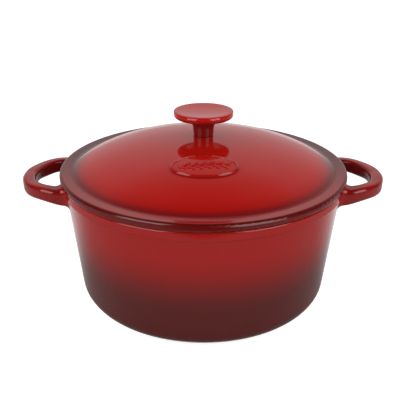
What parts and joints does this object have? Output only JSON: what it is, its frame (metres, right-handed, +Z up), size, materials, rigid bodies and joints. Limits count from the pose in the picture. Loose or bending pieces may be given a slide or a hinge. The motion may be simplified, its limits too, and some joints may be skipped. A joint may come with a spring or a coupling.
{
  "type": "dutch oven",
  "caption": "Round enamelled cast iron cooking pot with two loop handles and a domed lid that lifts off by a disc knob, with a raised oval plaque on the lid.",
  "frame": {"origin": "centre of the pot's underside, on the surface that it stands on", "axes": "+X through the right-hand handle, +Y away from the lid's plaque, +Z up along the pot's axis"},
  "size_m": [0.3348, 0.262, 0.1717],
  "materials": {
    "pot_enamel": "gloss enamel, red fading to a dark foot, pale inside",
    "lid_enamel": "gloss enamel, red fading to a dark flange, pale underneath",
    "knob_enamel": "gloss red enamel",
    "steel": "satin stainless steel"
  },
  "bodies": {
    "pot_body": {"pot": "pot_enamel"},
    "lid_body": {"lid": "lid_enamel", "knob": "knob_enamel", "knob_washer": "steel", "knob_screw": "steel"}
  },
  "joints": [
    {"name": "lid_lift", "type": "slide", "parent": "pot_body", "child": "lid_body", "axis": [0, 0, 1], "range_m": [0, 0.15]}
  ]
}
